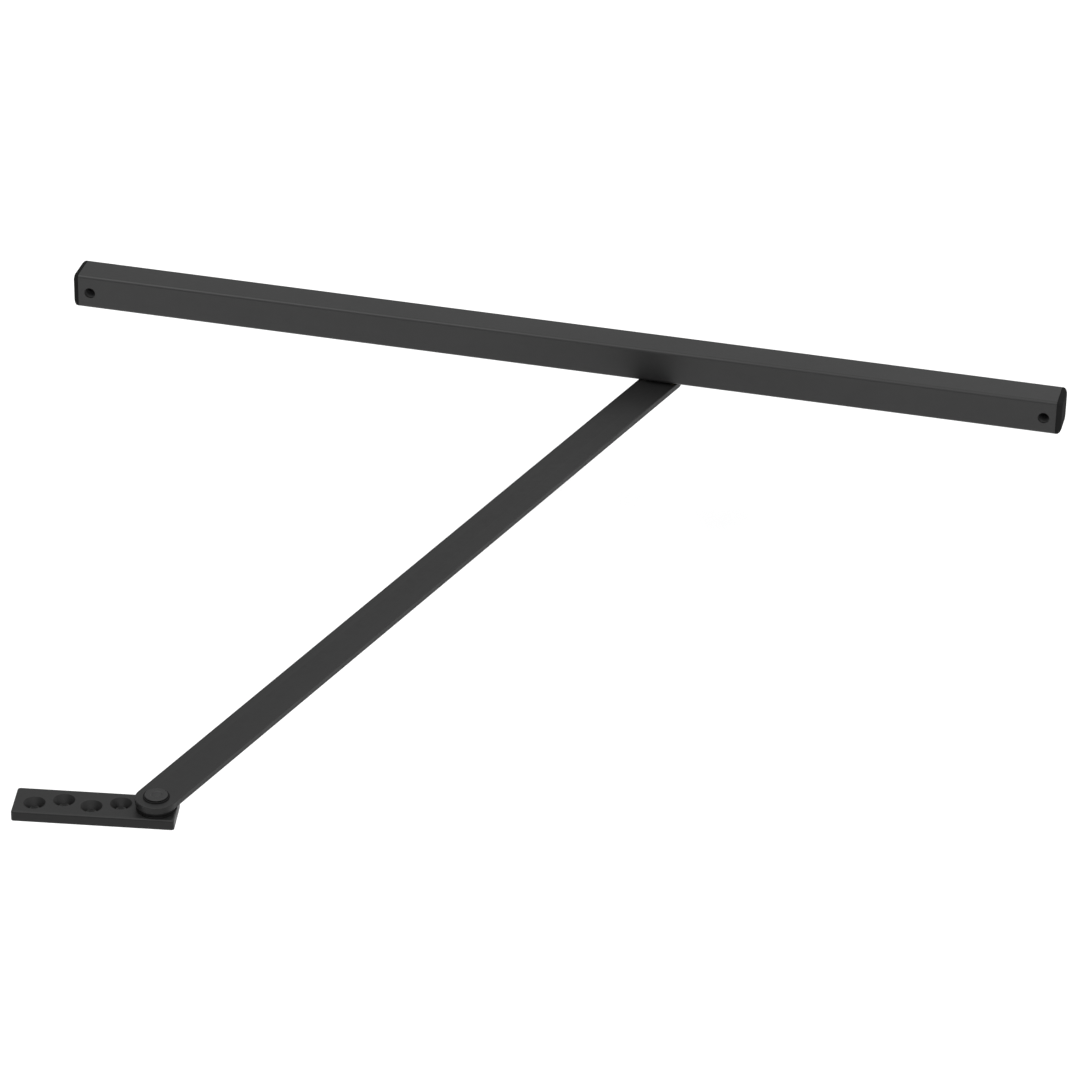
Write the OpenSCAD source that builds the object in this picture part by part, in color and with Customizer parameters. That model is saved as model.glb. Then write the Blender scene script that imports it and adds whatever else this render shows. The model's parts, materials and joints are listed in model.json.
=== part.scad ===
// Surface-mounted overhead door stop: a slide channel, a flat arm and a jamb bracket.
//
// Axes: +X runs along the channel, +Y points at the door, +Z is away from the arm.
// The origin is the centre of the channel's back face, which lies on the door.
// Fitted to a door, the whole part is turned so that -Z points up at the frame head.

/* [Channel] */
// Length of the channel without its end caps
channel_len = 615; // [560:1:700]
// Depth of the channel, front to back
channel_depth = 22; // [20:0.5:24]
// Height of the channel
channel_height = 22; // [20:0.5:24]
// Thickness of the channel's front wall
front_wall = 1.6; // [1.4:0.1:2]
// Thickness of the back wall, which the face screws pull against the door
back_wall = 3.4; // [3.2:0.1:4]
// Thickness of the top wall and of the two lips beside the slot
skin = 2; // [1.6:0.1:2.2]
// Width of the slot in the underside
slot_w = 9.4; // [9.4:0.1:10]
// Distance from each end of the channel to its face screw
screw_inset = 7.5; // [7:0.5:8]
// Drop of the face screws below the middle of the channel
screw_drop = 0.5; // [0:0.1:1]
// Diameter of the face screw holes
screw_hole_d = 6.8; // [5.5:0.1:7]

/* [End caps] */
// Thickness of the end caps
cap_len = 3.4; // [3:0.1:4]
// Rounding of the end caps' outer edges
cap_round = 2.7; // [0.6:0.1:2.9]

/* [Slide] */
// Distance of the slide's post from the middle of the channel
slide_x = 63.9; // [-80:1:220]
// Length of the slide
slide_len = 44; // [36:1:60]
// Diameter of the slide's post
stud_d = 7; // [6:0.1:7]

/* [Arm] */
// Distance between the arm's two pivots
arm_len = 548; // [440:1:600]
// Direction of the arm seen from above, from the bracket to the slide
arm_yaw = 72.9; // [30:0.1:150]
// Width of the arm
arm_w = 23; // [20:0.5:24]
// Thickness of the arm
arm_t = 4; // [3:0.5:5]
// Gap between the underside of the channel and the arm
arm_gap = 1.5; // [1.5:0.1:3]

/* [Jamb bracket] */
// Length of the bracket
bracket_len = 88; // [86:1:110]
// Width of the bracket
bracket_w = 24; // [20:0.5:26]
// Thickness of the bracket
bracket_t = 6; // [5:0.5:8]
// Direction of the bracket seen from above
bracket_yaw = 8.9; // [-60:0.1:60]
// Distance from the pivot to the bracket's nearer end
pivot_inset = 11; // [9:0.5:14]
// Distance from the bracket's far end to its first screw hole
first_hole = 11.3; // [9:0.1:12]
// Distance between neighbouring screw holes, along the bracket
hole_pitch = 15.4; // [13:0.1:15.4]
// Sideways step of the screw holes from the middle line
hole_step = 2.1; // [0:0.1:3]
// Diameter of the bracket's screw holes
bracket_hole_d = 5.5; // [4:0.1:6]
// Diameter of their countersinks
csk_d = 12; // [9:0.1:12]

/* [Pivot rivet] */
// Diameter of the rivet's head
rivet_head_d = 12.5; // [11:0.5:14]
// Height of the rivet's head above the arm, with the washer under it
rivet_head_h = 1.4; // [1.2:0.1:1.4]
// Diameter of the rivet's shank
rivet_d = 8; // [6:0.5:8]

/* [Sprung buffer] */
// Travel of the buffer when the door reaches its opening limit
buffer_stroke = 18; // [8:1:18]
// Length of the spring at rest
spring_len = 94; // [80:1:110]
// Number of turns in the spring
spring_turns = 15; // [12:1:18]
// Diameter of the spring's wire
wire_d = 1.8; // [1.2:0.1:2]
// Outer diameter of the spring
spring_od = 13; // [11:0.5:14]

/* [Hidden] */

$fn = 48;
eps = 0.01;             // overshoot of a cutting tool
run = 0.06;             // radial clearance of a pin in its bush
side_gap = 0.3;         // clearance of the slide inside the channel
block_gap = 0.1;        // clearance of a fixed block inside the channel
face_gap = 0.1;         // gap between two faces that turn on each other

// the space inside the channel
end_x = channel_len / 2;
inner_w = channel_depth - front_wall - back_wall;
inner_h = channel_height - 2 * skin;
mid_y = -back_wall - inner_w / 2;
top_z = channel_height / 2;
corner_r = 2;           // of the channel's and the caps' long edges

// end blocks and their fittings
block_len = 19.5;
spigot_d = 8;
spigot_len = 3;
set_screw_d = 5;
set_screw_len = 10;
set_screw_inset = 4;    // from the block's inner face
hex_key_d = 2.8;
bumper_t = 4;

// buffer, laid out from the left end block
rod_d = 5;
nut_t = 4;
nut_af = 8;
tail = 5;               // how far the rod stands out of the seat
seat_len = 8;
seat_x = -end_x + block_len + buffer_stroke + tail + 2.5;
spring_x = seat_x + seat_len;
head_x = spring_x + spring_len;
head_len = 10;
head_d = inner_w - 0.8;
pad_t = 4;
pad_d = 13;
seat_pin_d = 4;
seat_pin_len = 9;
seat_pin_drop = 5.6;
wire_sides = 6;
turn_steps = 12;

// slide, in the channel's cross-section
shoe_t = 1.8;
shoe_foot = 1.6;
shoe_w = inner_w / 2 - slot_w / 2 - side_gap;   // of the foot that runs on a lip
block_w = inner_w - 2 * side_gap - 2 * shoe_t;
block_h = inner_h - 2 * side_gap - 2 * shoe_foot;
peg_d = 4;
peg_len = 2.5;
peg_spread = 28;
stud_head_d = 11;
stud_head_h = 3;
stud_pin_d = 3;
stud_pin_z = -3;
sleeve_d = slot_w - 0.8;

// heights below the channel, from the arm down
arm_top = -top_z - arm_gap;
arm_bottom = arm_top - arm_t;
thrust_t = 1.2;
thrust_d = 15;
sleeve_top = -block_h / 2;
sleeve_bottom = arm_top + thrust_t + face_gap;
stud_washer_t = 1;
stud_washer_d = 16;
clip_t = 0.9;
clip_d = 12;
clip_groove_d = 5.6;
stud_tip = 0.9;         // of the post, below its clip
clip_top = arm_bottom - stud_washer_t - face_gap;
stud_bottom = clip_top - clip_t - stud_tip;

// pivot between the arm and the bracket
bush_wall = 1.5;
pivot_washer_d = 22;
pivot_washer_t = 1;
head_washer_t = 0.5;
head_washer_rim = 0.9;  // how far it stands out round the rivet's head
pivot_stack = 3 * pivot_washer_t;
bracket_top = arm_bottom - pivot_stack;
bracket_bottom = bracket_top - bracket_t;
rivet_tail_d = 12;
rivet_tail_h = 2;
csk_half_angle = 41;
csk_depth = (csk_d - bracket_hole_d) / 2 / tan(csk_half_angle);
bracket_corner_r = 1.2;

// places of the two pivots
slide_pivot = [slide_x, mid_y];
jamb_pivot = slide_pivot - arm_len * [cos(arm_yaw), sin(arm_yaw)];
hole_count = 4;

// ---- shared shapes ----

// Rectangle centred on the origin, with round corners
module round_rect(w, h, r) {
    square([w - 2 * r, h], center = true);
    square([w, h - 2 * r], center = true);
    for (sx = [-1, 1], sy = [-1, 1])
        translate([sx * (w / 2 - r), sy * (h / 2 - r)])
            circle(r);
}

// Extrudes an outline drawn in the channel's cross-section (X is depth, Y is height)
module along_channel(x0, len) {
    translate([x0, 0, 0])
        rotate([90, 0, 90])
            linear_extrude(len)
                children();
}

// Cylinder along the channel, centred in the space inside it
module x_cylinder(x0, len, d) {
    translate([x0, mid_y, 0])
        rotate([0, 90, 0])
            cylinder(d = d, h = len);
}

// Cylinder that runs front to back, starting at depth y0
module y_cylinder(x, y0, z, len, d) {
    translate([x, y0, z])
        rotate([-90, 0, 0])
            cylinder(d = d, h = len);
}

// Flat ring on a vertical axis, with its top face at z
module ring(at, z, t, d, bore) {
    translate([at[0], at[1], z - t])
        difference() {
            cylinder(d = d, h = t);
            translate([0, 0, -eps])
                cylinder(d = bore, h = t + 2 * eps);
        }
}

// The two places where face screws pass through the channel
module at_face_screws() {
    for (side = [-1, 1])
        translate([side * (end_x - screw_inset), 0, 0])
            children();
}

// Bore of a face screw, right through the channel's depth
module face_screw_bore() {
    y_cylinder(0, -channel_depth - eps, -screw_drop, channel_depth + 2 * eps, screw_hole_d);
}

// Moves a shape drawn along +X from the jamb pivot onto the arm's line
module on_arm() {
    translate([jamb_pivot[0], jamb_pivot[1], arm_bottom])
        rotate([0, 0, arm_yaw])
            children();
}

// Moves a shape drawn along +X from the bracket's far end onto the bracket
module on_bracket() {
    translate([jamb_pivot[0], jamb_pivot[1], bracket_bottom])
        rotate([0, 0, bracket_yaw])
            translate([pivot_inset - bracket_len, 0, 0])
                children();
}

// ---- channel and its fixed fittings ----

module channel() {
    color([0.16, 0.16, 0.17])
        difference() {
            along_channel(-end_x, channel_len)
                difference() {
                    translate([-channel_depth / 2, 0])
                        round_rect(channel_depth, channel_height, corner_r);
                    translate([mid_y, 0])
                        square([inner_w, inner_h], center = true);
                    translate([mid_y - slot_w / 2, -top_z - eps])
                        square([slot_w, top_z]);
                }
            at_face_screws()
                face_screw_bore();
            y_cylinder(seat_x + seat_len / 2, -back_wall - eps, -seat_pin_drop,
                       back_wall + 2 * eps, seat_pin_d);
        }
}

// Cap on the left end: a plate with rounded outer edges and a plug behind it
module end_cap() {
    color([0.07, 0.07, 0.07]) {
        intersection() {
            along_channel(-end_x - cap_len, cap_len)
                translate([-channel_depth / 2, 0])
                    round_rect(channel_depth, channel_height, corner_r);
            translate([-end_x, -channel_depth / 2, -top_z])
                linear_extrude(channel_height)
                    round_rect(2 * cap_len, channel_depth, cap_round);
            translate([-end_x, 0, 0])
                rotate([90, 0, 0])
                    linear_extrude(channel_depth)
                        round_rect(2 * cap_len, channel_height, cap_round);
        }
        x_cylinder(-end_x - eps, spigot_len + eps, spigot_d);
    }
}

module end_cap_left() {
    end_cap();
}

module end_cap_right() {
    mirror([1, 0, 0])
        end_cap();
}

// Block that fills the left end, bored for the face screw, the cap's plug and a set screw
module end_block() {
    color([0.62, 0.63, 0.65])
        difference() {
            translate([-end_x, mid_y - inner_w / 2 + block_gap, -inner_h / 2 + block_gap])
                cube([block_len, inner_w - 2 * block_gap, inner_h - 2 * block_gap]);
            at_face_screws()
                face_screw_bore();
            x_cylinder(-end_x - eps, spigot_len + eps, spigot_d);
            translate([block_len - set_screw_inset - end_x, mid_y, -inner_h])
                cylinder(d = set_screw_d, h = 2 * inner_h);
        }
}

module end_block_left() {
    end_block();
}

module end_block_right() {
    mirror([1, 0, 0])
        end_block();
}

// Socket set screws that jack the two end blocks against the top of the channel
module set_screws() {
    color([0.2, 0.2, 0.22])
        for (side = [-1, 1])
            translate([side * (end_x - block_len + set_screw_inset), mid_y,
                       inner_h / 2 - set_screw_len])
                difference() {
                    cylinder(d = set_screw_d, h = set_screw_len);
                    translate([0, 0, -eps])
                        cylinder(d = hex_key_d, h = 3, $fn = 6);
                }
}

// Rubber pad that the slide meets when the door is shut
module closing_bumper() {
    color([0.08, 0.08, 0.08])
        x_cylinder(end_x - block_len - bumper_t, bumper_t, pad_d);
}

// ---- sprung buffer ----

module spring_seat() {
    color([0.62, 0.63, 0.65])
        difference() {
            translate([seat_x, mid_y - inner_w / 2 + block_gap, -inner_h / 2 + block_gap])
                cube([seat_len, inner_w - 2 * block_gap, inner_h - 2 * block_gap]);
            x_cylinder(seat_x - eps, seat_len + 2 * eps, rod_d + 2 * run);
            y_cylinder(seat_x + seat_len / 2, -seat_pin_len, -seat_pin_drop,
                       seat_pin_len, seat_pin_d);
        }
}

// Pin driven through the channel's back wall into the spring seat
module seat_pin() {
    color([0.7, 0.7, 0.72])
        y_cylinder(seat_x + seat_len / 2, -seat_pin_len, -seat_pin_drop,
                   seat_pin_len - 0.2, seat_pin_d);
}

module buffer_rod() {
    color([0.75, 0.75, 0.77])
        x_cylinder(seat_x - tail, tail + seat_len + spring_len + head_len - 2, rod_d);
}

module buffer_nut() {
    color([0.7, 0.7, 0.72])
        difference() {
            translate([seat_x - face_gap - nut_t, mid_y, 0])
                rotate([0, 90, 0])
                    cylinder(d = nut_af / cos(30), h = nut_t, $fn = 6);
            x_cylinder(seat_x - tail - 1, tail + 2, rod_d);
        }
}

module buffer_head() {
    color([0.85, 0.84, 0.78])
        difference() {
            x_cylinder(head_x, head_len, head_d);
            x_cylinder(head_x - eps, head_len - 2 + eps, rod_d);
        }
}

module buffer_pad() {
    color([0.08, 0.08, 0.08])
        x_cylinder(head_x + head_len, pad_t, pad_d);
}

// Open-coiled compression spring around the rod
module shock_spring() {
    coil_r = (spring_od - wire_d) / 2;
    rings = spring_turns * turn_steps;
    rise = (spring_len - wire_d - 2 * face_gap) / rings;
    x0 = spring_x + face_gap + wire_d / 2;
    points = [for (i = [0:rings], k = [0:wire_sides - 1])
        let (a = i * 360 / turn_steps, b = k * 360 / wire_sides,
             r = coil_r + wire_d / 2 * cos(b))
        [x0 + i * rise + wire_d / 2 * sin(b), mid_y + r * cos(a), r * sin(a)]];
    sides = [for (i = [0:rings - 1], k = [0:wire_sides - 1])
        let (a = i * wire_sides, n = (k + 1) % wire_sides)
        [a + k, a + n, a + wire_sides + n, a + wire_sides + k]];
    first = [for (k = [wire_sides - 1:-1:0]) k];
    last = [for (k = [0:wire_sides - 1]) rings * wire_sides + k];
    color([0.55, 0.56, 0.58])
        polyhedron(points, concat(sides, [first, last]));
}

// ---- slide ----

module slide_block() {
    color([0.55, 0.55, 0.57])
        difference() {
            translate([slide_x - slide_len / 2, mid_y - block_w / 2, -block_h / 2])
                cube([slide_len, block_w, block_h]);
            translate([slide_x, mid_y, -inner_h])
                cylinder(d = stud_d, h = 2 * inner_h);
            translate([slide_x, mid_y, block_h / 2 - stud_head_h])
                cylinder(d = stud_head_d, h = inner_h);
            y_cylinder(slide_x, mid_y - inner_w, stud_pin_z, 2 * inner_w, stud_pin_d);
            for (side = [-1, 1])
                y_cylinder(slide_x + side * peg_spread / 2, mid_y - inner_w, 0,
                           2 * inner_w, peg_d);
        }
}

// Plastic shoe on the front of the slide: wall plate, foot on the lip, top flange and pegs
module slide_shoe() {
    wall_y = mid_y - inner_w / 2 + side_gap;
    base_z = -inner_h / 2 + side_gap;
    color([0.86, 0.85, 0.8]) {
        along_channel(slide_x - slide_len / 2, slide_len)
            translate([wall_y, base_z]) {
                square([shoe_t, inner_h - 2 * side_gap]);
                square([shoe_w, shoe_foot]);
                translate([0, inner_h - 2 * side_gap - shoe_foot])
                    square([shoe_w, shoe_foot]);
            }
        for (side = [-1, 1])
            y_cylinder(slide_x + side * peg_spread / 2, wall_y + eps, 0,
                       shoe_t + peg_len, peg_d);
    }
}

module slide_shoe_front() {
    slide_shoe();
}

module slide_shoe_rear() {
    translate([0, 2 * mid_y, 0])
        mirror([0, 1, 0])
            slide_shoe();
}

// Post with a flat head, a cross hole for its pin and a groove for its clip
module slide_stud() {
    color([0.75, 0.75, 0.77])
        difference() {
            translate([slide_x, mid_y, 0]) {
                translate([0, 0, block_h / 2 - stud_head_h])
                    cylinder(d = stud_head_d, h = stud_head_h);
                translate([0, 0, stud_bottom])
                    cylinder(d = stud_d, h = block_h / 2 - stud_bottom);
            }
            ring(slide_pivot, clip_top, clip_t, stud_d + 2, clip_groove_d);
            y_cylinder(slide_x, mid_y - stud_d, stud_pin_z, 2 * stud_d, stud_pin_d);
        }
}

module stud_pin() {
    color([0.7, 0.7, 0.72])
        y_cylinder(slide_x, mid_y - block_w / 2 + 0.2, stud_pin_z, block_w - 0.4, stud_pin_d);
}

// Sleeve on the post that runs along the edges of the slot
module slot_sleeve() {
    color([0.72, 0.6, 0.32])
        ring(slide_pivot, sleeve_top, sleeve_top - sleeve_bottom, sleeve_d, stud_d);
}

// Spring clip in the post's groove, open towards the channel's front
module stud_clip() {
    color([0.3, 0.3, 0.32])
        difference() {
            ring(slide_pivot, clip_top, clip_t, clip_d, clip_groove_d);
            translate([slide_x - 2, mid_y - clip_d, clip_top - clip_t - eps])
                cube([4, clip_d, clip_t + 2 * eps]);
        }
}

// ---- arm ----

module arm() {
    color([0.15, 0.15, 0.16])
        on_arm()
            difference() {
                linear_extrude(arm_t) {
                    translate([0, -arm_w / 2])
                        square([arm_len, arm_w]);
                    circle(d = arm_w, $fn = 96);
                    translate([arm_len, 0])
                        circle(d = arm_w, $fn = 96);
                }
                translate([0, 0, -eps])
                    cylinder(d = rivet_d + 2 * bush_wall, h = arm_t + 2 * eps);
                translate([arm_len, 0, -eps])
                    cylinder(d = stud_d + 2 * bush_wall, h = arm_t + 2 * eps);
            }
}

module arm_bush_slide() {
    color([0.72, 0.6, 0.32])
        ring(slide_pivot, arm_top, arm_t, stud_d + 2 * bush_wall, stud_d + 2 * run);
}

module arm_bush_jamb() {
    color([0.72, 0.6, 0.32])
        ring(jamb_pivot, arm_top, arm_t, rivet_d + 2 * bush_wall, rivet_d + 2 * run);
}

// Plastic washer on top of the arm, under the slide's sleeve
module thrust_washer() {
    color([0.86, 0.85, 0.8])
        ring(slide_pivot, arm_top + thrust_t, thrust_t, thrust_d, stud_d + 2 * run);
}

module stud_washer() {
    color([0.7, 0.7, 0.72])
        ring(slide_pivot, arm_bottom, stud_washer_t, stud_washer_d, stud_d + 2 * run);
}

// ---- jamb bracket and pivot ----

module jamb_bracket() {
    color([0.16, 0.16, 0.17])
        difference() {
            on_bracket()
                difference() {
                    translate([bracket_len / 2, 0, 0])
                        linear_extrude(bracket_t)
                            round_rect(bracket_len, bracket_w, bracket_corner_r);
                    for (i = [0:hole_count - 1])
                        translate([first_hole + i * hole_pitch, hole_step * (i % 2 * 2 - 1), 0])
                            screw_hole();
                }
            rivet_shank();
        }
}

// Through hole with a countersink on top, in a plate that stands on Z = 0
module screw_hole() {
    translate([0, 0, -eps])
        cylinder(d = bracket_hole_d, h = bracket_t + 2 * eps);
    translate([0, 0, bracket_t - csk_depth])
        cylinder(d1 = bracket_hole_d, d2 = csk_d, h = csk_depth);
    translate([0, 0, bracket_t])
        cylinder(d = csk_d, h = 1);
}

// Shank of the rivet, spread into a cone that is flush with the bracket's underside
module rivet_shank() {
    translate([jamb_pivot[0], jamb_pivot[1], 0]) {
        translate([0, 0, bracket_bottom])
            cylinder(d = rivet_d, h = arm_top - bracket_bottom);
        translate([0, 0, bracket_bottom])
            cylinder(d1 = rivet_tail_d, d2 = rivet_d, h = rivet_tail_h);
    }
}

module pivot_rivet() {
    color([0.17, 0.17, 0.18]) {
        rivet_shank();
        translate([jamb_pivot[0], jamb_pivot[1], arm_top + face_gap])
            rivet_head();
    }
}

// Low round head over its washer, with a small chamfer and a side that tapers in underneath
module rivet_head() {
    head_r = rivet_head_d / 2;
    edge = 0.2;
    undercut = 0.5;
    rotate_extrude($fn = 96)
        polygon([[0, -face_gap - eps], [rivet_d / 2, -face_gap - eps], [rivet_d / 2, head_washer_t],
                 [head_r - undercut, head_washer_t], [head_r, rivet_head_h - edge],
                 [head_r - edge, rivet_head_h], [0, rivet_head_h]]);
}

module head_washer() {
    color([0.1, 0.1, 0.1])
        ring(jamb_pivot, arm_top + face_gap + head_washer_t, head_washer_t,
             rivet_head_d + 2 * head_washer_rim, rivet_d);
}

module pivot_washer_upper() {
    color([0.1, 0.1, 0.1])
        ring(jamb_pivot, arm_bottom - face_gap, pivot_washer_t - face_gap,
             pivot_washer_d, rivet_d);
}

// Dished spring washer that keeps the joint from rattling
module pivot_spring_washer() {
    rim_t = 0.5;
    rim_r = pivot_washer_d / 2 - 0.5;
    color([0.3, 0.3, 0.32])
        translate([jamb_pivot[0], jamb_pivot[1], arm_bottom - 2 * pivot_washer_t])
            rotate_extrude($fn = 96)
                polygon([[rivet_d / 2, pivot_washer_t - rim_t], [rim_r, 0],
                         [rim_r, rim_t], [rivet_d / 2, pivot_washer_t]]);
}

module pivot_washer_lower() {
    color([0.25, 0.25, 0.27])
        ring(jamb_pivot, bracket_top + pivot_washer_t, pivot_washer_t, pivot_washer_d, rivet_d);
}

channel();
end_cap_left();
end_cap_right();
end_block_left();
end_block_right();
set_screws();
closing_bumper();
spring_seat();
seat_pin();
buffer_rod();
buffer_nut();
buffer_head();
buffer_pad();
shock_spring();
slide_block();
slide_shoe_front();
slide_shoe_rear();
slide_stud();
stud_pin();
slot_sleeve();
stud_clip();
arm();
arm_bush_slide();
arm_bush_jamb();
thrust_washer();
stud_washer();
jamb_bracket();
pivot_rivet();
head_washer();
pivot_washer_upper();
pivot_spring_washer();
pivot_washer_lower();
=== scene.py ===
"""Looks of a surface-mounted overhead door stop: slide channel, flat arm and jamb bracket.

Every piece is built in the part's own frame, in metres: +X along the channel, +Y into the door, +Z up.
"""
import json
import math

import bmesh
import bpy
from mathutils import Matrix, Vector


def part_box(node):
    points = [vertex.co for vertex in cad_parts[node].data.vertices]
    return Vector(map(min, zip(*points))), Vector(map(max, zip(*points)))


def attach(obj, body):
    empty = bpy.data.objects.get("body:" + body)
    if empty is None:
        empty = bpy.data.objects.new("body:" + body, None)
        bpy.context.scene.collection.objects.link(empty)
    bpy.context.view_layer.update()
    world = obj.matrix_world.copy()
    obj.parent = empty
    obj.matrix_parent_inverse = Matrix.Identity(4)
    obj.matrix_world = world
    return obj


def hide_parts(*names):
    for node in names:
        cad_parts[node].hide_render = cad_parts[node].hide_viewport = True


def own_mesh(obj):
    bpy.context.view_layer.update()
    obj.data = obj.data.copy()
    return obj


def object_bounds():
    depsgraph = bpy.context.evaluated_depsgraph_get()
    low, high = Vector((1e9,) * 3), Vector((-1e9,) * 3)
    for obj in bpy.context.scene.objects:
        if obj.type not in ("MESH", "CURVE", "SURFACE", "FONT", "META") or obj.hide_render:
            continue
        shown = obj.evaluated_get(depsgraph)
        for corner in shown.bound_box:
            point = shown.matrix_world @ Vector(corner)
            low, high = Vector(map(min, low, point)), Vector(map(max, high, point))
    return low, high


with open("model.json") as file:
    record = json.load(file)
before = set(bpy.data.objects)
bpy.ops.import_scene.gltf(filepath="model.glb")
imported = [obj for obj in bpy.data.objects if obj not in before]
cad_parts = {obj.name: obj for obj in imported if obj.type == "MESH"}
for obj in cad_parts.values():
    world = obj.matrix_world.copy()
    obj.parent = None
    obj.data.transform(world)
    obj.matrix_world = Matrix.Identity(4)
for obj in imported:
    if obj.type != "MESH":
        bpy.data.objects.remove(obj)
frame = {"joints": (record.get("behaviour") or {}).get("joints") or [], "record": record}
cad_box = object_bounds()
joints = {j["name"]: j for j in frame["joints"]}
mounts = {m["name"]: m for m in frame["record"]["mounts"]}
node_slots = {s["node"]: s["material_slot"] for s in frame["record"]["subparts"]}
node_body = {n: b for b, nodes in frame["record"]["behaviour"]["bodies"].items() for n in nodes}

MM = 0.001
TAU = 2 * math.pi

# ---- places read from the frame ----
SLIDE_PIVOT = Vector(joints["arm_swing"]["pos_m"])
JAMB_PIVOT = Vector(joints["bracket_swivel"]["pos_m"])
ARM_LINE = (SLIDE_PIVOT - JAMB_PIVOT).xy
BRACKET_LINE = (JAMB_PIVOT - Vector(mounts["bracket_screws_outer"]["pos_m"])).xy
BRACKET_YAW = math.atan2(BRACKET_LINE.y, BRACKET_LINE.x)
FACE_SCREW_X = mounts["track_screws"]["dims"]["spacing_x_mm"] * MM / 2
FACE_SCREW_Z = mounts["track_screws"]["pos_m"][2]
FACE_SCREW_R = mounts["track_screws"]["dims"]["hole_r_mm"] * MM
BRACKET_HOLE_R = mounts["bracket_screws_outer"]["dims"]["hole_r_mm"] * MM
MID_Y = SLIDE_PIVOT.y

# ---- sizes that no box gives ----
FRONT_WALL = 1.6 * MM
BACK_WALL = 3.4 * MM
SKIN = 2 * MM               # the channel's floor and roof
SECTION_R = 2 * MM          # corners of the channel's section
SLOT_W = 9.4 * MM
ARM_W = 23 * MM
BUSH_WALL = 1.5 * MM
RUN = 0.06 * MM             # radial clearance of the posts in their bushes and washers
STUD_R = 3.5 * MM
RIVET_R = 4 * MM
ROD_R = 2.5 * MM
SET_SCREW_R = 2.5 * MM
STUD_HEAD_R = 5.5 * MM
STUD_HEAD_T = 3 * MM
PLUG_R = 4 * MM             # of the end caps' plugs and their pockets in the end blocks
SEAT_PIN_R = 2 * MM
# The bracket's holes run in a zigzag, HOLE_PITCH apart along it and HOLE_STEP off its middle line.
BRACKET_LEN = 88 * MM
BRACKET_W = 24 * MM
PIVOT_INSET = 11 * MM
FIRST_HOLE = 11.3 * MM
HOLE_PITCH = 15.4 * MM
HOLE_STEP = 2.1 * MM
HOLE_COUNT = 4
CSK_R = 6 * MM
CSK_DEPTH = (CSK_R - BRACKET_HOLE_R) / math.tan(math.radians(41))
SPRING_TURNS = 15
WIRE_R = 0.9 * MM
CAP_ROUND = 2.7 * MM
PEG_X = 14 * MM             # of the shoes' pegs, either side of the slide's post
PEG_R = 2 * MM
OVER = 1 * MM               # how far a cutter reaches past the faces that it opens

# ---- camera and stage ----
AIM = Vector((0.0421, -0.2414, 0))
AZIMUTH, ELEVATION, ROLL = 13.11, 30.73, 1.08
DISTANCE = 3.008
LENS, SENSOR = 174.33, 36
FLOOR_GAP = 0.1
# Ramps of the studio's light: direction, cosines where the ramp starts and ends, light there.
DARK_HORIZON = ((0, 0.2, 0.98), -0.05, 0.3, 0.08, 1.0)
BRIGHT_ABOVE_FRONT = ((0, -0.6, 0.8), -0.2, 0.9, 0.72, 1.7)
DARK_LEFT = ((1, 0, 0), -0.55, 0.0, 0.43, 1.03)


# ---- outlines ----

def arc(cx, cy, r, start, end, steps):
    """Points on an arc, from the start angle to the end angle in degrees, both included."""
    angles = [math.radians(start + (end - start) * i / steps) for i in range(steps + 1)]
    return [(cx + r * math.cos(a), cy + r * math.sin(a)) for a in angles]


def fillet(before, corner, after, r, steps=4):
    """Arc of radius r that replaces the corner between two straight runs."""
    p = Vector(corner)
    a = (Vector(before) - p).normalized()
    b = (Vector(after) - p).normalized()
    if r <= 0 or abs(a.cross(b)) < 1e-6:
        return [tuple(p)]
    half = a.angle(b) / 2
    centre = p + (a + b).normalized() * (r / math.sin(half))
    first = p + a * (r / math.tan(half)) - centre
    last = p + b * (r / math.tan(half)) - centre
    turn = math.atan2(first.cross(last), first.dot(last))
    points = []
    for k in range(steps + 1):
        c, s = math.cos(turn * k / steps), math.sin(turn * k / steps)
        points.append((centre.x + first.x * c - first.y * s, centre.y + first.x * s + first.y * c))
    return points


def rounded(points, radii, steps=4):
    """A closed outline with its corners rounded, by one radius or by one radius each."""
    radii = radii if isinstance(radii, list) else [radii] * len(points)
    out = []
    for i, p in enumerate(points):
        out += fillet(points[i - 1], p, points[(i + 1) % len(points)], radii[i], steps)
    return out


def inset_of(points):
    """Outline maker that moves every side of a closed anticlockwise outline inwards."""
    count = len(points)

    def outline(inset):
        out = []
        for i in range(count):
            a, p, b = (Vector(points[(i + k) % count]) for k in (-1, 0, 1))
            n1 = Vector((a.y - p.y, p.x - a.x)).normalized()
            n2 = Vector((p.y - b.y, b.x - p.x)).normalized()
            out.append(tuple(p + (n1 + n2) * (inset / (1 + n1.dot(n2)))))
        return out
    return outline


def stadium(length, radius):
    """Outline maker for a bar with round ends, whose end centres are at X = 0 and X = length."""
    steps = 40

    def outline(inset):
        r = radius - inset
        return arc(length, 0, r, -90, 90, steps) + arc(0, 0, r, 90, 270, steps)
    return outline


def round_box(x0, x1, y0, y1, r, spread=0.0):
    """Outline maker for a rectangle with round corners; spread adds to their radius as it shrinks."""
    steps = 6

    def outline(inset):
        q = r + spread * inset
        a, b, c, d = x0 + inset, x1 - inset, y0 + inset, y1 - inset
        return (arc(b - q, c + q, q, -90, 0, steps) + arc(b - q, d - q, q, 0, 90, steps)
                + arc(a + q, d - q, q, 90, 180, steps) + arc(a + q, c + q, q, 180, 270, steps))
    return outline


def hexagon(corner_r):
    """Outline maker for a hexagon whose corners lie on a circle."""
    return lambda inset: arc(0, 0, corner_r - inset, 0, 300, 5)


# ---- meshes ----

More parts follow.
